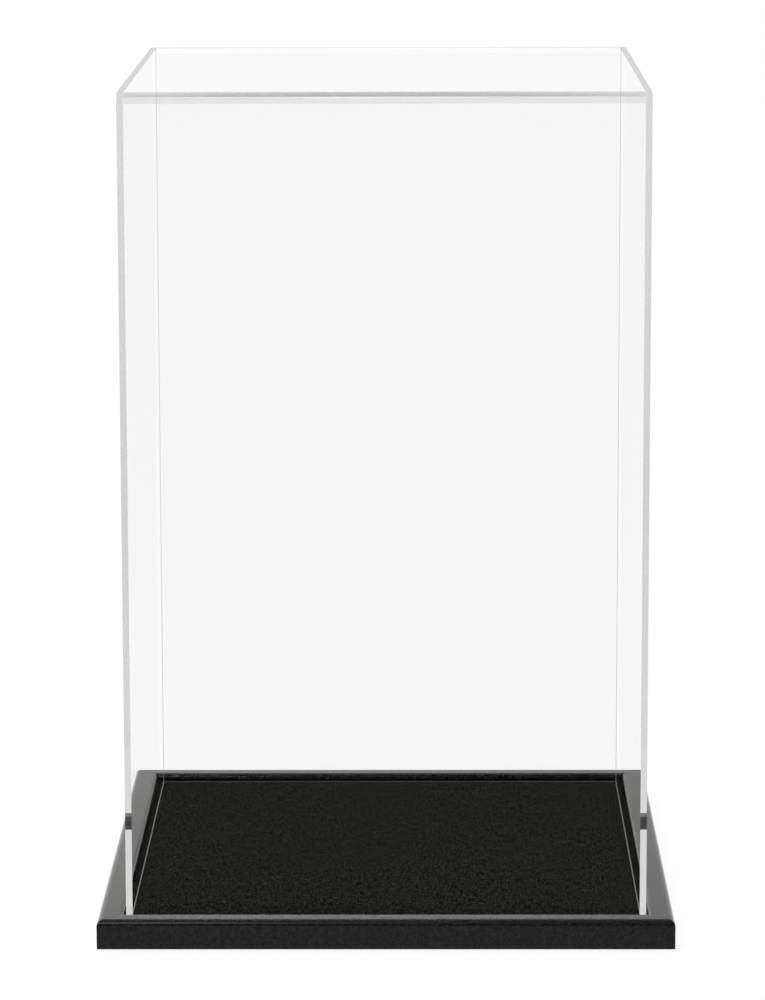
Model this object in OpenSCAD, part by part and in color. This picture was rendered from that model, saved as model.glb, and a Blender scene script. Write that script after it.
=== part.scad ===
// Figure display case: a clear bent-sheet cover that drops inside the rim of a black, felt-lined base.
// Millimetres, +Z up, front towards -Y. The origin is the middle of the footprint, on the shelf.

/* [Cover] */
// Outside width of the clear cover, left to right
cover_w = 240; // [160:1:320]
// Outside depth of the clear cover, front to back
cover_d = 274; // [180:1:360]
// Height of the clear cover, from its bottom edge to its top
cover_h = 382; // [160:1:480]
// Thickness of the acrylic sheet
sheet_t = 3; // [2:0.5:5]
// Inside radius of the two heat bends along the top
bend_r = 2; // [1:0.5:8]

/* [Rim rails] */
// Width of a rail, seen from above
rail_w = 12.2; // [10:0.1:20]
// Height of the rim above the felt
rim_h = 3.4; // [2.5:0.1:8]
// Radius of the rounded outer top edge of a rail
round_r = 3; // [0.5:0.1:6]
// Radius of the rounded inner top edge of a rail
ease_r = 2.4; // [0.2:0.1:2.4]
// Clearance between the cover and the rim, all round
cover_gap = 0.7; // [0.2:0.1:1.5]

/* [Floor] */
// Thickness of the board
board_t = 9; // [6:0.5:15]
// Thickness of the felt
felt_t = 1.4; // [0.5:0.1:3]
// How far the board and the felt reach in under the rim
rabbet_w = 5; // [2:0.5:6]
// Clearance between the edge of the board and the rails
board_gap = 0.2; // [0.1:0.1:0.5]

/* [Corner nails] */
// Length of each leg of a V nail
nail_leg = 5; // [3:0.5:8]
// Thickness of the nail's steel strip
nail_t = 0.6; // [0.3:0.1:1]
// Depth that a nail is driven into the mitre
nail_h = 7; // [4:0.5:9]

/* [Pads] */
// Diameter of a pad
pad_d = 12; // [8:1:20]
// Thickness of a pad
pad_t = 1; // [0.5:0.5:4]
// Distance from the edge of the board to a pad
pad_inset = 3; // [1:1:30]

/* [Hidden] */
$fn = 96;

// How far a cutting shape runs past the face that it cuts
cut = 1;

// The cover stands inside the rim, so the base is as wide as the cover, its clearance and the rails
base_w = cover_w + 2 * (cover_gap + rail_w);
base_d = cover_d + 2 * (cover_gap + rail_w);
rail_h = board_t + felt_t + rim_h;

// The rabbet leaves this width of rail beside the board
leg_w = rail_w - rabbet_w;
board_w = base_w - 2 * (leg_w + board_gap);
board_d = base_d - 2 * (leg_w + board_gap);

// Heights of the stack, from the shelf up
base_z = pad_t;
felt_z = base_z + board_t;
cover_z = felt_z + felt_t;

// The side panels close the two ends of the wrap
wrap_w = cover_w - 2 * sheet_t;
bend_outer_r = bend_r + sheet_t;

// A nail's corner sits on the mitre, in the middle of the leg
nail_in = (leg_w - nail_t) / 2;

// Middle of a pad, from the middle of the base
pad_x = board_w / 2 - pad_inset - pad_d / 2;
pad_y = board_d / 2 - pad_inset - pad_d / 2;

acrylic = [0.90, 0.95, 0.95, 0.35];
black_film = [0.07, 0.07, 0.07];
black_felt = [0.11, 0.11, 0.11];
brown_board = [0.36, 0.27, 0.19];
nail_steel = [0.70, 0.71, 0.72];
grey_rubber = [0.22, 0.22, 0.23];

// Section of a rail: x runs in from the outer face, y runs up from the underside
module rail_section() {
    difference() {
        union() {
            square([rail_w, rail_h - max(round_r, ease_r)]);
            translate([round_r, 0]) square([rail_w - round_r - ease_r, rail_h]);
            translate([round_r, 0]) square([rail_w - round_r, rail_h - ease_r]);
            translate([round_r, rail_h - round_r]) circle(r = round_r);
            translate([rail_w - ease_r, rail_h - ease_r]) circle(r = ease_r);
        }
        translate([leg_w, -cut]) square([rabbet_w + cut, board_t + felt_t + cut]);
    }
}

// One V nail with its corner at the origin, and its legs along +X and +Y
module nail(below = 0) {
    translate([0, 0, -below]) {
        cube([nail_leg, nail_t, nail_h + below]);
        cube([nail_t, nail_leg, nail_h + below]);
    }
}

// A rail along X with its outer face at y = 0, mitred at both ends and slotted for the nails
module rail(length) {
    difference() {
        intersection() {
            translate([-length / 2, 0, 0]) rotate([90, 0, 90]) linear_extrude(length) rail_section();
            linear_extrude(rail_h) polygon([
                [-length / 2, 0],
                [length / 2, 0],
                [length / 2 - rail_w, rail_w],
                [-length / 2 + rail_w, rail_w]
            ]);
        }
        translate([-length / 2 + nail_in, nail_in, 0]) nail(below = cut);
        translate([length / 2 - nail_in, nail_in, 0]) rotate(90) nail(below = cut);
    }
}

// A rail turned to its own side of the base; across is the base's size square to the rail
module placed_rail(turn, across, length) {
    color(black_film) rotate(turn) translate([0, -across / 2, base_z]) rail(length);
}

module front_rail() placed_rail(0, base_d, base_w);
module right_rail() placed_rail(90, base_w, base_d);
module back_rail() placed_rail(180, base_d, base_w);
module left_rail() placed_rail(270, base_w, base_d);

module corner_nails() {
    corners = [[-1, -1], [1, -1], [1, 1], [-1, 1]];
    color(nail_steel)
        for (i = [0:3])
            translate([
                corners[i].x * (base_w / 2 - nail_in),
                corners[i].y * (base_d / 2 - nail_in),
                base_z
            ])
                rotate(90 * i) nail();
}

module base_board() {
    color(brown_board)
        translate([-board_w / 2, -board_d / 2, base_z]) cube([board_w, board_d, board_t]);
}

module felt_liner() {
    color(black_felt)
        translate([-board_w / 2, -board_d / 2, felt_z]) cube([board_w, board_d, felt_t]);
}

// A pad under the board; side is -1 or 1 for left or right, face is -1 or 1 for front or back
module pad(side, face) {
    color(grey_rubber) translate([side * pad_x, face * pad_y, 0]) cylinder(h = pad_t, d = pad_d);
}

module front_left_pad() pad(-1, -1);
module front_right_pad() pad(1, -1);
module back_left_pad() pad(-1, 1);
module back_right_pad() pad(1, 1);

// Outline of the cover seen from the side: flat at the foot, with both top corners rounded
module arch(depth, height, radius) {
    translate([-depth / 2, 0]) square([depth, height - radius]);
    translate([-depth / 2 + radius, 0]) square([depth - 2 * radius, height]);
    for (side = [-1, 1])
        translate([side * (depth / 2 - radius), height - radius]) circle(r = radius);
}

// One sheet bent over two lines: front, top and back
module cover_wrap() {
    color(acrylic)
        translate([-wrap_w / 2, 0, cover_z])
            rotate([90, 0, 90])
                linear_extrude(wrap_w)
                    difference() {
                        arch(cover_d, cover_h, bend_outer_r);
                        translate([0, -cut]) arch(cover_d - 2 * sheet_t, cover_h - sheet_t + cut, bend_r);
                    }
}

// A flat sheet trimmed flush with the bends of the wrap, with its left face at x
module side_panel(x) {
    color(acrylic)
        translate([x, 0, cover_z])
            rotate([90, 0, 90])
                linear_extrude(sheet_t) arch(cover_d, cover_h, bend_outer_r);
}

module left_side_panel() side_panel(-cover_w / 2);
module right_side_panel() side_panel(cover_w / 2 - sheet_t);

front_rail();
back_rail();
left_rail();
right_rail();
corner_nails();
base_board();
felt_liner();
front_left_pad();
front_right_pad();
back_left_pad();
back_right_pad();
cover_wrap();
left_side_panel();
right_side_panel();
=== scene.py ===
import math

import bmesh
import bpy
from mathutils import Matrix, Vector, noise


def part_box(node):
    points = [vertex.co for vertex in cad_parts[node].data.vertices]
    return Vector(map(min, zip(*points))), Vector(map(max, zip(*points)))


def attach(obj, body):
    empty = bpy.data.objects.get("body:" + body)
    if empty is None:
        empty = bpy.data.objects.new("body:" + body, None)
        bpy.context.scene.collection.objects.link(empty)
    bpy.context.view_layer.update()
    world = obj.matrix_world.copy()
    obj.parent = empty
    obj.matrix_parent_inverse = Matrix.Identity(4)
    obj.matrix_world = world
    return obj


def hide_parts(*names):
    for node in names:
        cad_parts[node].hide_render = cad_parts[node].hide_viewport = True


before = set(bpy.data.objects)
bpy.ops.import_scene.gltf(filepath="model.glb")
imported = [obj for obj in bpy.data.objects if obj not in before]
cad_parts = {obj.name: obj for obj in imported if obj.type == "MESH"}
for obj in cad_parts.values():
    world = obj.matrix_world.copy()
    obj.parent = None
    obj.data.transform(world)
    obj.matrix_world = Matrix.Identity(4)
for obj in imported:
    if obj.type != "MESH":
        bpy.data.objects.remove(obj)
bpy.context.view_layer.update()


# Rim rails: four lengths of fibreboard moulding wrapped in black satin film, mitred at the corners.
# Both top edges are rounded, and a rabbet underneath takes the edges of the board and the felt.
OUTER_ROUND = 0.003
INNER_ROUND = 0.0024
MITRE_EASE = 0.00016
ARRIS_EASE = 0.00025
NAIL_STANDS_OUT = 0.00005
BOARD_CLEARANCE = 0.0002
CREASE = math.radians(35)
NEAR = 1e-6
CUT_SNAP = 1e-7

front_low, front_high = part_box("front_rail")
left_low, left_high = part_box("left_rail")
rail_width = front_high.y - front_low.y
rail_foot = front_low.z + NAIL_STANDS_OUT
rail_top = front_high.z
lip_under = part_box("felt_liner")[1].z
leg_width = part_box("base_board")[0].x - left_low.x - BOARD_CLEARANCE
base_width = front_high.x - front_low.x
base_depth = left_high.y - left_low.y


def new_tree(name):
    """An empty node material."""
    material = bpy.data.materials.new(name)
    material.use_nodes = True
    material.node_tree.nodes.clear()
    return material, material.node_tree


def give(tree, socket, value):
    """Links a socket to another node's output, or sets it; a plain colour is given without alpha."""
    if isinstance(value, bpy.types.NodeSocket):
        tree.links.new(value, socket)
    elif socket.type == "RGBA":
        socket.default_value = (*value, 1)
    else:
        socket.default_value = value


def put(tree, kind, **values):
    """Adds a node and returns its first output; inputs are named, with spaces as underscores."""
    node = tree.nodes.new(kind)
    for name, value in values.items():
        give(tree, node.inputs[name.replace("_", " ")], value)
    return node.outputs[0]


def tones(tree, value, *stops):
    """Colours for a value, each stop being a share from 0 to 1 and the colour there."""
    node = tree.nodes.new("ShaderNodeValToRGB")
    tree.links.new(value, node.inputs["Fac"])
    first, last = node.color_ramp.elements
    for mark, (share, colour) in ((first, stops[0]), (last, stops[-1])):
        mark.position = share
        mark.color = (*colour, 1)
    for share, colour in stops[1:-1]:
        node.color_ramp.elements.new(share).color = (*colour, 1)
    return node.outputs["Color"]


def span(tree, value, low, high):
    """Maps a 0 to 1 value to the range from low to high."""
    return put(tree, "ShaderNodeMapRange", Value=value, To_Min=low, To_Max=high)


def grain(tree, place, **values):
    """A noise pattern laid on these coordinates."""
    return put(tree, "ShaderNodeTexNoise", Vector=place, **values)


def stretched(tree, place, **values):
    """Coordinates that are turned and scaled before a pattern is laid on them."""
    return put(tree, "ShaderNodeMapping", Vector=place, **values)


def relief(tree, height, **values):
    """A fine unevenness of the surface."""
    return put(tree, "ShaderNodeBump", Height=height, **values)


def coat(tree, colour, roughness, normal, **values):
    """An opaque finish: a dull or glossy coat, or bare metal."""
    return put(
        tree, "ShaderNodeBsdfPrincipled",
        Base_Color=colour, Roughness=roughness, Normal=normal, **values,
    )


def show(tree, shader, kind="ShaderNodeOutputMaterial"):
    """Ends a tree with this shader."""
    tree.links.new(shader, tree.nodes.new(kind).inputs["Surface"])


def satin_film():
    material, tree = new_tree("black_satin_film")
    wrapped = tree.nodes.new("ShaderNodeUVMap")
    wrapped.uv_map = "film"
    place = wrapped.outputs["UV"]
    mottle = grain(tree, place, Scale=420, Detail=4, Roughness=0.75)
    peel = grain(tree, place, Scale=1300, Detail=2, Roughness=0.5)
    drawn = grain(tree, stretched(tree, place, Scale=(14, 240, 1)), Scale=1, Detail=3, Roughness=0.55)
    tone = tones(tree, mottle, (0.40, (0.0001, 0.0004, 0.0003)), (0.66, (0.0128, 0.0135, 0.0133)))
    gloss = span(tree, drawn, 0.07, 0.17)
    dimple = relief(tree, peel, Strength=0.07, Distance=0.00004)
    show(tree, coat(tree, tone, gloss, dimple, IOR=1.28))
    return material


def long_edges(bm, y, z):
    """The edges along X that lie at this place of the section."""
    return [
        edge for edge in bm.edges
        if all(abs(v.co.y - y) < NEAR and abs(v.co.z - z) < NEAR for v in edge.verts)
    ]


def round_edges(bm, edges, radius, segments):
    bmesh.ops.bevel(
        bm, geom=edges, offset=radius, offset_type="OFFSET", affect="EDGES",
        segments=segments, profile=0.5, material=-1, clamp_overlap=True,
    )


def shade_round(bm):
    """Smooth faces, with every sharp edge kept crisp."""
    for face in bm.faces:
        face.smooth = True
    for edge in bm.edges:
        edge.smooth = edge.calc_face_angle(0) < CREASE


def make_piece(name, bm, *materials):
    mesh = bpy.data.meshes.new(name)
    bm.to_mesh(mesh)
    bm.free()
    piece = bpy.data.objects.new(name, mesh)
    bpy.context.scene.collection.objects.link(piece)
    for material in materials:
        mesh.materials.append(material)
    return piece


def even_normals(piece):
    """Lets the large faces set the normals, so that flats next to a round-over stay flat."""
    weighted = piece.modifiers.new("even_normals", "WEIGHTED_NORMAL")
    weighted.mode = "FACE_AREA"
    weighted.weight = 90
    weighted.keep_sharp = True


def cut_moulding(length):
    """One length along X with its outer face at y = 0, mitred at both ends."""
    section = [
        (0, rail_foot), (0, rail_top), (rail_width, rail_top),
        (rail_width, lip_under), (leg_width, lip_under), (leg_width, rail_foot),
    ]
    bm = bmesh.new()
    end_face = bm.faces.new([bm.verts.new((-length / 2, y, z)) for y, z in section])
    drawn_out = bmesh.ops.extrude_face_region(bm, geom=[end_face])["geom"]
    far_end = [item for item in drawn_out if isinstance(item, bmesh.types.BMVert)]
    bmesh.ops.translate(bm, vec=(length, 0, 0), verts=far_end)
    bmesh.ops.recalc_face_normals(bm, faces=bm.faces)
    round_edges(bm, long_edges(bm, 0, rail_top), OUTER_ROUND, segments=14)
    round_edges(bm, long_edges(bm, rail_width, rail_top), INNER_ROUND, segments=12)
    for y, z in ((0, rail_foot), (leg_width, rail_foot), (rail_width, lip_under)):
        round_edges(bm, long_edges(bm, y, z), ARRIS_EASE, segments=2)
    for end in (-1, 1):
        cut = bmesh.ops.bisect_plane(
            bm, geom=bm.verts[:] + bm.edges[:] + bm.faces[:], dist=CUT_SNAP,
            plane_co=(end * length / 2, 0, 0), plane_no=(end, 1, 0), clear_outer=True,
        )
        mitre = [item for item in cut["geom_cut"] if isinstance(item, bmesh.types.BMEdge)]
        bmesh.ops.edgeloop_fill(bm, edges=mitre)
        round_edges(bm, mitre, MITRE_EASE, segments=2)
    bmesh.ops.recalc_face_normals(bm, faces=bm.faces)
    film = bm.loops.layers.uv.new("film")
    for face in bm.faces:
        for loop in face.loops:
            loop[film].uv = (loop.vert.co.x, loop.vert.co.y + loop.vert.co.z)
    return bm


film_finish = satin_film()
for rail_name, turn, across, length in (
    ("front_rail", 0, base_depth, base_width),
    ("right_rail", 90, base_width, base_depth),
    ("back_rail", 180, base_depth, base_width),
    ("left_rail", 270, base_width, base_depth),
):
    moulding = cut_moulding(length)
    to_side = Matrix.Rotation(math.radians(turn), 4, "Z") @ Matrix.Translation((0, -across / 2, 0))
    bmesh.ops.transform(moulding, matrix=to_side, verts=moulding.verts)
    shade_round(moulding)
    rail = make_piece(rail_name + "_moulding", moulding, film_finish)
    even_normals(rail)
    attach(rail, "base")
    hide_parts(rail_name)


# Corner nails: four V-shaped nails of bright steel strip, one in each mitre.
# They are driven in from below and show only as thin Vs on the underside, so the solid ones stay.
def read(tree, kind, output):
    """One output of a node that needs nothing set."""
    return tree.nodes.new(kind).outputs[output]


def bright_strip():
    material, tree = new_tree("bright_steel_strip")
    place = read(tree, "ShaderNodeTexCoord", "Object")
    along_strip = stretched(tree, place, Scale=(2600, 2600, 180))
    drawn = grain(tree, along_strip, Scale=1, Detail=3, Roughness=0.6)
    tone = tones(tree, drawn, (0.3, (0.42, 0.42, 0.43)), (0.7, (0.62, 0.63, 0.64)))
    gloss = span(tree, drawn, 0.24, 0.42)
    scratch = relief(tree, drawn, Strength=0.2, Distance=0.00003)
    show(tree, coat(tree, tone, gloss, scratch, Metallic=1.0))
    return material


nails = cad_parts["corner_nails"]
nails.data.materials.clear()
nails.data.materials.append(bright_strip())


# Base board: one sawn panel of bare brown fibreboard with eased edges.
# It is set up into the rabbet from below and carries the felt.
BOARD_EASE = 0.0004


def mix_colours(tree, share, first, second, blend="MIX"):
    """The second colour over the first, by this share."""
    node = tree.nodes.new("ShaderNodeMix")
    node.data_type = "RGBA"
    node.blend_type = blend
    for socket, value in zip((node.inputs[0], *node.inputs[6:8]), (share, first, second)):
        give(tree, socket, value)
    return node.outputs[2]


def bare_fibreboard():
    material, tree = new_tree("bare_fibreboard")
    place = read(tree, "ShaderNodeTexCoord", "Object")
    fibre = grain(tree, place, Scale=900, Detail=6, Roughness=0.75)
    cloud = grain(tree, place, Scale=35, Detail=3, Roughness=0.5)
    fleck = put(tree, "ShaderNodeTexVoronoi", Vector=place, Scale=620)
    tone = tones(tree, fibre, (0.28, (0.20, 0.135, 0.082)), (0.72, (0.36, 0.265, 0.175)))
    dark_spot = tones(tree, fleck, (0.05, (0.42, 0.40, 0.38)), (0.22, (1, 1, 1)))
    shading = tones(tree, cloud, (0.3, (0.86, 0.85, 0.84)), (0.7, (1, 1, 1)))
    speckled = mix_colours(tree, 0.55, tone, dark_spot, "MULTIPLY")
    clouded = mix_colours(tree, 1.0, speckled, shading, "MULTIPLY")
    dull = span(tree, fibre, 0.70, 0.92)
    fuzz = relief(tree, fibre, Strength=0.35, Distance=0.00015)
    show(tree, coat(tree, clouded, dull, fuzz))
    return material


def slab(low, high):
    """A rectangular block between two corners."""
    bm = bmesh.new()
    bmesh.ops.create_cube(bm, size=1)
    bmesh.ops.scale(bm, vec=high - low, verts=bm.verts)
    bmesh.ops.translate(bm, vec=(low + high) / 2, verts=bm.verts)
    return bm


board_panel = slab(*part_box("base_board"))
round_edges(board_panel, board_panel.edges[:], BOARD_EASE, segments=3)
shade_round(board_panel)
board = make_piece("base_board_panel", board_panel, bare_fibreboard())
even_normals(board)
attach(board, "base")
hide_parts("base_board")


# Felt: one sheet of short-napped black felt, laid over the whole board.
# The rim's lip holds its edges down, and its face waves by about a tenth of a millimetre.
FELT_WAVE = 0.00012
LONG_WAVES = 70
SHORT_WAVES = 190


def math_node(tree, operation, first, second=0.0):
    node = tree.nodes.new("ShaderNodeMath")
    node.operation = operation
    for socket, value in zip(node.inputs, (first, second)):
        give(tree, socket, value)
    return node.outputs[0]


def grey(level):
    return (level, level, level)


def laid_hairs(tree, place, turn):
    """Fine hairs that lie in one direction."""
    combed = stretched(tree, place, Rotation=(0, 0, math.radians(turn)), Scale=(220, 2400, 900))
    return grain(tree, combed, Scale=1, Detail=3, Roughness=0.6, Distortion=1.2)


def short_nap_felt():
    material, tree = new_tree("black_short_nap_felt")
    place = read(tree, "ShaderNodeTexCoord", "Object")
    nap = grain(tree, place, Scale=1500, Detail=5, Roughness=0.72, Distortion=0.6)
    clump = grain(tree, stretched(tree, place, Scale=(800, 162, 700)), Scale=1, Detail=3, Roughness=0.7)
    drift = grain(tree, place, Scale=22, Detail=2, Roughness=0.5)
    hairs = math_node(tree, "MAXIMUM", laid_hairs(tree, place, 20), laid_hairs(tree, place, 110))
    pile = put(tree, "ShaderNodeMix", Factor=0.45, A=hairs, B=nap)
    tone = tones(tree, pile, (0.34, (0.0060, 0.0059, 0.0053)), (0.72, (0.0254, 0.0251, 0.0223)))
    patch = tones(tree, clump, (0.37, grey(0.41)), (0.63, (1.59, 1.59, 1.58)))
    wide = tones(tree, drift, (0.3, grey(0.93)), (0.7, grey(1.05)))
    mottled = mix_colours(tree, 1.0, tone, patch, "MULTIPLY")
    worn = mix_colours(tree, 1.0, mottled, wide, "MULTIPLY")
    dull = span(tree, nap, 0.88, 1.0)
    tuft = relief(tree, pile, Strength=0.6, Distance=0.0002)
    show(tree, coat(tree, worn, dull, tuft, Specular_IOR_Level=0.0))
    return material


felt_low, felt_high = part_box("felt_liner")
felt_size = felt_high - felt_low
felt_sheet = bmesh.new()
bmesh.ops.create_grid(felt_sheet, x_segments=88, y_segments=100, size=0.5)
bmesh.ops.scale(felt_sheet, vec=(felt_size.x, felt_size.y, 1), verts=felt_sheet.verts)
bmesh.ops.translate(felt_sheet, vec=((felt_low + felt_high) / 2).xy.to_3d(), verts=felt_sheet.verts)
bmesh.ops.translate(felt_sheet, vec=(0, 0, felt_low.z), verts=felt_sheet.verts)
lifted = bmesh.ops.extrude_face_region(felt_sheet, geom=felt_sheet.faces[:])["geom"]
for item in lifted:
    if isinstance(item, bmesh.types.BMVert):
        wave = noise.noise(item.co * LONG_WAVES) + 0.5 * noise.noise(item.co * SHORT_WAVES)
        item.co.z += felt_size.z - FELT_WAVE * (0.6 + 0.4 * wave)
bmesh.ops.recalc_face_normals(felt_sheet, faces=felt_sheet.faces)
shade_round(felt_sheet)
felt = make_piece("felt_sheet", felt_sheet, short_nap_felt())
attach(felt, "base")
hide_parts("felt_liner")


# Pads: four round pads of dark foam rubber, punched from sheet and stuck under the board.
# Their edges are pressed slightly round.
PAD_EASE = 0.0003


def foam_rubber():
    material, tree = new_tree("dark_foam_rubber")
    place = read(tree, "ShaderNodeTexCoord", "Object")
    pore = put(tree, "ShaderNodeTexVoronoi", Vector=place, Scale=2600)
    cloud = grain(tree, place, Scale=500, Detail=3, Roughness=0.6)
    tone = tones(tree, cloud, (0.3, (0.030, 0.030, 0.031)), (0.7, (0.060, 0.060, 0.062)))
    dull = span(tree, cloud, 0.72, 0.92)
    pit = relief(tree, pore, Strength=0.5, Distance=0.00012)
    show(tree, coat(tree, tone, dull, pit))
    return material


foam_finish = foam_rubber()
for pad_name in ("front_left_pad", "front_right_pad", "back_left_pad", "back_right_pad"):
    pad_low, pad_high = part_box(pad_name)
    pad_radius = (pad_high.x - pad_low.x) / 2
    disc = bmesh.new()
    bmesh.ops.create_cone(
        disc, cap_ends=True, segments=64,
        radius1=pad_radius, radius2=pad_radius, depth=pad_high.z - pad_low.z,
    )
    bmesh.ops.translate(disc, vec=(pad_low + pad_high) / 2, verts=disc.verts)
    rims = [edge for edge in disc.edges if abs(edge.verts[0].co.z - edge.verts[1].co.z) < NEAR]
    round_edges(disc, rims, PAD_EASE, segments=4)
    shade_round(disc)
    pad = make_piece(pad_name + "_disc", disc, foam_finish)
    even_normals(pad)
    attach(pad, "base")
    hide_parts(pad_name)


# Cover wrap: one clear acrylic sheet, heat-bent over two lines into front, top and back.
# Its faces are polished and its foot is sawn, so a thin frosted line shows on the felt.
ACRYLIC_IOR = 1.49
FACE_TINT = 0.9745
BACK_BEND_TINT = 0.965
TOP_EDGE_TINT = 0.69
SQUARE_ON_SHEEN = 0.0375
SHEEN_LIMIT = 0.03
BEND_INSIDE = 0.002
BEND_STEPS = 28
CEMENT_GAP = 0.00004
FROST_LINE = (0.00058, 0.00095)
SQUARE = 0.9999

wrap_low, wrap_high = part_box("cover_wrap")
panel_low, panel_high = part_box("left_side_panel")
sheet = panel_high.x - panel_low.x
bend_radius = BEND_INSIDE + sheet
half_wrap = (wrap_high.x - wrap_low.x) / 2 - CEMENT_GAP


def mix_shaders(tree, share, first, second):
    """The second shader over the first, by this share."""
    node = tree.nodes.new("ShaderNodeMixShader")
    for socket, value in zip(node.inputs, (share, first, second)):
        give(tree, socket, value)
    return node.outputs[0]


def ray(tree, kind):
    """1 for light of this kind, otherwise 0."""
    return read(tree, "ShaderNodeLightPath", "Is " + kind + " Ray")


def from_behind(tree):
    """1 where a face is seen from its back, otherwise 0."""
    return read(tree, "ShaderNodeNewGeometry", "Backfacing")


def within_sheet(tree):
    """1 for a ray that was bent on its way into the sheet and hasn't left it yet, otherwise 0."""
    return math_node(tree, "MODULO", read(tree, "ShaderNodeLightPath", "Transmission Depth"), 2.0)


def rest_of(tree, share):
    return math_node(tree, "SUBTRACT", 1.0, share)


def solid_acrylic(tree, **values):
    """Acrylic that bends light."""
    return put(tree, "ShaderNodeBsdfGlass", Roughness=0.0, IOR=ACRYLIC_IOR, **values)


def clear_face(name, tint, tint_inside, outline=1.0):
    """A face that light goes straight through.

    outline is the share of light that is left where the face turns out of view.
    """
    material, tree = new_tree(name)
    edge_on = put(tree, "ShaderNodeFresnel", IOR=ACRYLIC_IOR)
    sheen = math_node(tree, "SUBTRACT", edge_on, SQUARE_ON_SHEEN)
    sheen = math_node(tree, "MINIMUM", math_node(tree, "MAXIMUM", sheen), SHEEN_LIMIT)
    turned_away = put(tree, "ShaderNodeLayerWeight", Blend=0.5).node.outputs["Facing"]
    rim = tones(tree, turned_away, (0.62, grey(1)), (0.85, grey(outline)))
    colour = mix_colours(tree, from_behind(tree), grey(tint), grey(tint_inside))
    colour = mix_colours(tree, 1.0, colour, rim, "MULTIPLY")
    through = put(tree, "ShaderNodeBsdfTransparent", Color=colour)
    gloss = put(tree, "ShaderNodeBsdfGlossy", Roughness=0.0)
    pane = mix_shaders(tree, sheen, through, gloss)
    unseen = put(tree, "ShaderNodeBsdfTransparent")
    pane = mix_shaders(tree, ray(tree, "Reflection"), pane, unseen)
    show(tree, mix_shaders(tree, within_sheet(tree), pane, solid_acrylic(tree)))
    return material


def along(tree, axis, low, high, *stops):
    """Colours along one axis, with stops as shares of the way from low to high.

    X counts from the middle outwards.
    """
    place = read(tree, "ShaderNodeTexCoord", "Object")
    at = put(tree, "ShaderNodeSeparateXYZ", Vector=place).node.outputs[axis]
    if axis == "X":
        at = math_node(tree, "ABSOLUTE", at)
    share = put(tree, "ShaderNodeMapRange", Value=at, From_Min=low, From_Max=high)
    return tones(tree, share, *stops)


def polished_edge(name, tint_and_shade, behind, straight=None, cloud=0.0):
    """A narrow edge or bend that carries light like glass and tints what goes in.

    tint_and_shade gives that tint along the edge, with painted shade where it is darker in places,
    and behind is what is left of light that meets it from within the sheet. straight, where given,
    is the share of light along the edge that passes unbent, and cloud makes the edge milky.
    """
    material, tree = new_tree(name)
    hidden = math_node(tree, "MAXIMUM", from_behind(tree), ray(tree, "Reflection"))
    bent = rest_of(tree, hidden)
    if straight:
        bent = math_node(tree, "MULTIPLY", bent, rest_of(tree, straight(tree)))
    bent = math_node(tree, "MAXIMUM", bent, within_sheet(tree))
    soft = math_node(tree, "MAXIMUM", ray(tree, "Shadow"), ray(tree, "Diffuse"))
    bent = math_node(tree, "MULTIPLY", bent, rest_of(tree, soft))
    plain = put(tree, "ShaderNodeBsdfTransparent", Color=behind)
    milk = put(tree, "ShaderNodeBsdfDiffuse", Color=grey(0.8))
    plain = mix_shaders(tree, cloud, plain, milk)
    colour = mix_colours(tree, from_behind(tree), tint_and_shade(tree), grey(1))
    show(tree, mix_shaders(tree, bent, plain, solid_acrylic(tree, Color=colour)))
    return material


def edge_tint_with_painted_shade(tree):
    """Pale green-grey, partly the acrylic's own tint and partly painted shade that darkens the middle
    of the edge's height, so it is lightest towards both ends.
    """
    foot, middle, top = (0.675, 0.690, 0.680), (0.602, 0.617, 0.607), (0.665, 0.680, 0.670)
    return along(tree, "Z", wrap_low.z, wrap_high.z, (0, foot), (0.5, middle), (1, top))


def bend_tint_with_painted_shade(tree):
    """The acrylic's own tint, with painted shade that makes the bend a little darker in the middle of
    its length.
    """
    middle, end = (0.825, 0.835, 0.828), (0.875, 0.885, 0.878)
    return along(tree, "X", 0, half_wrap, (0.2, middle), (1, end))


def unbent_share(tree):
    """Most light goes straight through the lower half of the bend, and elsewhere more at its ends."""
    ends = along(tree, "X", 0, half_wrap, (0.25, grey(0.14)), (0.7, grey(0.37)), (1, grey(0.64)))
    bend_foot = wrap_high.z - bend_radius
    lower_half = along(tree, "Z", bend_foot, wrap_high.z, (0.57, grey(0.85)), (0.67, grey(0)))
    return math_node(tree, "MAXIMUM", ends, lower_half)


def sawn_foot():
    material, tree = new_tree("frosted_sawn_foot")
    place = read(tree, "ShaderNodeTexCoord", "Object")
    saw = grain(tree, place, Scale=1400, Detail=3, Roughness=0.6)
    tone = tones(tree, saw, (0.3, (0.20, 0.21, 0.205)), (0.7, (0.34, 0.355, 0.35)))
    dull = span(tree, saw, 0.5, 0.7)
    mark = relief(tree, saw, Strength=0.3, Distance=0.00005)
    frost = coat(tree, tone, dull, mark)
    show(tree, mix_shaders(tree, within_sheet(tree), frost, solid_acrylic(tree)))
    return material


FACE, TOP_FACE, EDGE, FRONT_BEND, BACK_BEND, TOP_EDGE, JOINT, FOOT = range(8)
acrylic = (
    clear_face("clear_acrylic_face", FACE_TINT, FACE_TINT),
    # The top faces are given no tint, a painted lightening that makes them read lighter than the other
    # faces of the same sheet.
    clear_face("clear_acrylic_top", 1.0, 1.0),
    polished_edge("polished_acrylic_edge", edge_tint_with_painted_shade, (1, 1, 1)),
    polished_edge("front_bend_acrylic", bend_tint_with_painted_shade, (0.895, 0.9, 0.895), straight=unbent_share),
    clear_face("back_bend_acrylic", BACK_BEND_TINT, BACK_BEND_TINT, outline=0.68),
    clear_face("top_edge_acrylic", TOP_EDGE_TINT, 1.0),
    polished_edge("cemented_acrylic_joint", edge_tint_with_painted_shade, (0.70, 0.71, 0.705), cloud=0.4),
    sawn_foot(),
)


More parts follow.
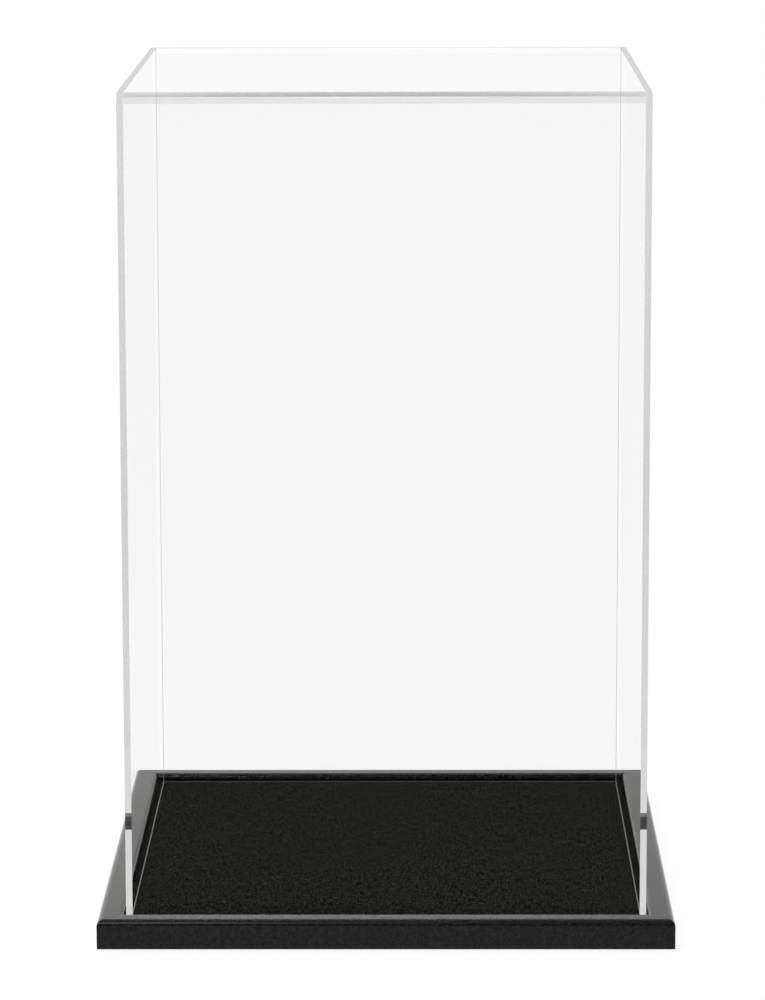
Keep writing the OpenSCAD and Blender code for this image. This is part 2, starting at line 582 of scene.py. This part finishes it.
def cut_across(bm, faces, place, normal):
    """Splits these faces where a plane crosses them."""
    edges = {edge for face in faces for edge in face.edges}
    corners = {vert for face in faces for vert in face.verts}
    bmesh.ops.bisect_plane(
        bm, geom=list(corners) + list(edges) + list(faces), dist=CUT_SNAP,
        plane_co=place, plane_no=normal,
    )


def faces_towards(bm, direction):
    """The flat faces whose normal has this direction."""
    direction = Vector(direction)
    return [face for face in bm.faces if face.normal.dot(direction) > SQUARE]


def soles_of(bm, height):
    """The faces that stand on the felt at this height."""
    return [
        face for face in faces_towards(bm, (0, 0, -1))
        if abs(face.calc_center_median().z - height) < NEAR
    ]


def is_curved(face):
    return max(abs(part) for part in face.normal) < SQUARE


bent_sheet = bmesh.new()
bmesh.ops.create_cube(bent_sheet, size=1)
wrap_size = (2 * half_wrap, wrap_high.y - wrap_low.y, wrap_high.z - wrap_low.z)
bmesh.ops.scale(bent_sheet, vec=wrap_size, verts=bent_sheet.verts)
bmesh.ops.translate(bent_sheet, vec=(wrap_low + wrap_high) / 2, verts=bent_sheet.verts)
open_sides = faces_towards(bent_sheet, (1, 0, 0)) + faces_towards(bent_sheet, (-1, 0, 0))
open_sides += faces_towards(bent_sheet, (0, 0, -1))
bmesh.ops.delete(bent_sheet, geom=open_sides, context="FACES_ONLY")
loose = [edge for edge in bent_sheet.edges if not edge.link_faces]
bmesh.ops.delete(bent_sheet, geom=loose, context="EDGES")
top_lines = [
    edge for edge in bent_sheet.edges
    if len(edge.link_faces) == 2 and all(abs(v.co.z - wrap_high.z) < NEAR for v in edge.verts)
]
round_edges(bent_sheet, top_lines, bend_radius, BEND_STEPS)
bmesh.ops.solidify(bent_sheet, geom=bent_sheet.faces[:], thickness=sheet)
bmesh.ops.recalc_face_normals(bent_sheet, faces=bent_sheet.faces)
inner_y = wrap_high.y - sheet
for front_or_back in (-1, 1):
    for inset in FROST_LINE:
        near_side = [
            face for face in soles_of(bent_sheet, wrap_low.z)
            if face.calc_center_median().y * front_or_back > 0
        ]
        cut_across(bent_sheet, near_side, (0, front_or_back * (inner_y + inset), 0), (0, 1, 0))
soles = soles_of(bent_sheet, wrap_low.z)
for face in bent_sheet.faces:
    middle = face.calc_center_median()
    face.smooth = is_curved(face)
    face.material_index = FACE
    if face in soles:
        frosted = FROST_LINE[0] < abs(middle.y) - inner_y < FROST_LINE[1]
        face.material_index = FOOT if frosted else EDGE
    elif abs(face.normal.x) > SQUARE:
        face.material_index = EDGE
    elif abs(face.normal.z) > SQUARE:
        face.material_index = TOP_FACE
    elif is_curved(face) and middle.y < 0:
        face.material_index = FRONT_BEND
    elif is_curved(face) and face.normal.z > 0:
        face.material_index = BACK_BEND
wrap = make_piece("cover_bent_sheet", bent_sheet, *acrylic)
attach(wrap, "cover")
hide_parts("cover_wrap")


# Side panels: two flat clear acrylic sheets, cemented to the ends of the wrap and trimmed flush.
# Their polished edges show all round as pale grey-green bands.
# A fine line of cement runs down the back.
CEMENT_LINE = (0.0007, 0.0011)
TURNED_BACK = 0.25
TURNED_UP = 0.02

for panel_name, side in (("left_side_panel", -1), ("right_side_panel", 1)):
    low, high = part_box(panel_name)
    outer_x = low.x if side < 0 else high.x
    inner_x = outer_x - side * sheet
    pane = slab(low, high)
    corners = long_edges(pane, low.y, high.z) + long_edges(pane, high.y, high.z)
    round_edges(pane, corners, bend_radius, BEND_STEPS)
    bmesh.ops.recalc_face_normals(pane, faces=pane.faces)
    for inset in FROST_LINE:
        cut_across(pane, soles_of(pane, low.z), (inner_x + side * inset, 0, 0), (1, 0, 0))
    for inset in CEMENT_LINE:
        back_edge = [face for face in pane.faces if face.normal.y > TURNED_BACK]
        cut_across(pane, back_edge, (inner_x + side * inset, 0, 0), (1, 0, 0))
    for face in pane.faces:
        inset = abs(face.calc_center_median().x - inner_x)
        face.smooth = is_curved(face)
        face.material_index = EDGE
        if abs(face.normal.x) > SQUARE:
            face.material_index = FACE
        if face.normal.z > TURNED_UP:
            face.material_index = TOP_EDGE
        if face.normal.z < -SQUARE and FROST_LINE[0] < inset < FROST_LINE[1]:
            face.material_index = FOOT
        if face.normal.y > TURNED_BACK and CEMENT_LINE[0] < inset < CEMENT_LINE[1]:
            face.material_index = JOINT
    panel = make_piece(panel_name + "_pane", pane, *acrylic)
    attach(panel, "cover")
    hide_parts(panel_name)


# Floor: a plain white sweep that the case stands on.
# For the camera, in gloss and through acrylic it is nearly white, and it takes a soft shadow.
# From below it can be looked through.
FLOOR_REACH = 8
FLOOR_GLOW = 0.82


def white_sweep():
    material, tree = new_tree("white_sweep")
    seen = math_node(tree, "MAXIMUM", ray(tree, "Camera"), ray(tree, "Glossy"))
    seen = math_node(tree, "MAXIMUM", seen, ray(tree, "Transmission"))
    paper = put(tree, "ShaderNodeBsdfDiffuse", Color=grey(0.92))
    glow = put(tree, "ShaderNodeEmission", Color=grey(1), Strength=1.08)
    above = mix_shaders(tree, math_node(tree, "MULTIPLY", seen, FLOOR_GLOW), paper, glow)
    below = put(tree, "ShaderNodeBsdfTransparent")
    show(tree, mix_shaders(tree, from_behind(tree), above, below))
    return material


sweep = bmesh.new()
bmesh.ops.create_grid(sweep, x_segments=1, y_segments=1, size=FLOOR_REACH)
floor = make_piece("floor", sweep, white_sweep())


# Light: a pale studio that is brighter behind and above the case than behind the camera.
# A soft lamp stands high on the left in front, with a narrow and much weaker one beside it.
# For the camera and through acrylic the background is plain white.
LAMP_PLACE = Vector((-0.58, -1.28, 1.62))
LAMP_AIM = Vector((0, 0, 0.1))
LAMP_HEIGHT = 0.7


def studio_world():
    world = bpy.data.worlds.new("studio")
    world.use_nodes = True
    tree = world.node_tree
    tree.nodes.clear()
    way = put(tree, "ShaderNodeSeparateXYZ", Vector=read(tree, "ShaderNodeTexCoord", "Generated")).node
    depth = put(
        tree, "ShaderNodeMapRange", Value=way.outputs["Y"],
        From_Min=-0.92, From_Max=0.15, To_Min=0.4, To_Max=1.0,
    )
    depth.node.interpolation_type = "SMOOTHSTEP"
    across = put(
        tree, "ShaderNodeMapRange", Value=way.outputs["X"],
        From_Min=-0.05, From_Max=0.08, To_Min=1.06, To_Max=0.86,
    )
    bands = (0.2, 0.9), (0.226, 1.24), (0.238, 1.055), (0.268, 0.755), (0.36, 0.92)
    height = tones(tree, way.outputs["Z"], *((share, grey(level)) for share, level in bands))
    strength = math_node(tree, "MULTIPLY", math_node(tree, "MULTIPLY", depth, across), height)
    room = put(tree, "ShaderNodeBackground", Color=(1, 1.02, 0.99), Strength=strength)
    white = put(tree, "ShaderNodeBackground", Color=grey(1), Strength=1.0)
    seen = math_node(tree, "MAXIMUM", ray(tree, "Camera"), ray(tree, "Transmission"))
    show(tree, mix_shaders(tree, seen, room, white), "ShaderNodeOutputWorld")
    return world


bpy.context.scene.world = studio_world()

lamp_turn = (LAMP_AIM - LAMP_PLACE).to_track_quat("-Z", "Y")
for lamp_name, width, aside, power in (("soft_box", 0.9, 0, 10), ("soft_box_edge", 0.2, 0.55, 0.5)):
    lamp = bpy.data.lights.new(lamp_name, "AREA")
    lamp.shape = "RECTANGLE"
    lamp.size = width
    lamp.size_y = LAMP_HEIGHT
    lamp.energy = power
    soft_box = bpy.data.objects.new(lamp_name, lamp)
    soft_box.location = LAMP_PLACE + lamp_turn @ Vector((aside, 0, 0))
    soft_box.rotation_euler = lamp_turn.to_euler()
    bpy.context.scene.collection.objects.link(soft_box)


# Camera: a long lens two metres in front of the case and higher than its top, looking down.
# It stands slightly to the right, so it is turned a little to the left, and it leans a trace.
LOOKS_DOWN = math.radians(10.017)
TURNS_LEFT = math.radians(0.470)
LEANS = math.radians(-0.126)

camera_data = bpy.data.cameras.new("camera")
camera_data.lens = 162.57
camera_data.sensor_width = 36
camera_data.clip_end = 100
camera = bpy.data.objects.new("camera", camera_data)
camera.location = (0.01536, -2.15652, 0.56517)
aim = Matrix.Rotation(TURNS_LEFT, 3, "Z") @ Matrix.Rotation(math.radians(90) - LOOKS_DOWN, 3, "X")
camera.rotation_euler = (aim @ Matrix.Rotation(LEANS, 3, "Z")).to_euler()
bpy.context.scene.collection.objects.link(camera)
bpy.context.scene.camera = camera


# Picture: colours are shown as they are, and light may cross many clear faces and turn many times.
scene = bpy.context.scene
scene.view_settings.view_transform = "Standard"
scene.cycles.max_bounces = 128
scene.cycles.glossy_bounces = 128
scene.cycles.transmission_bounces = 128
scene.cycles.transparent_max_bounces = 64
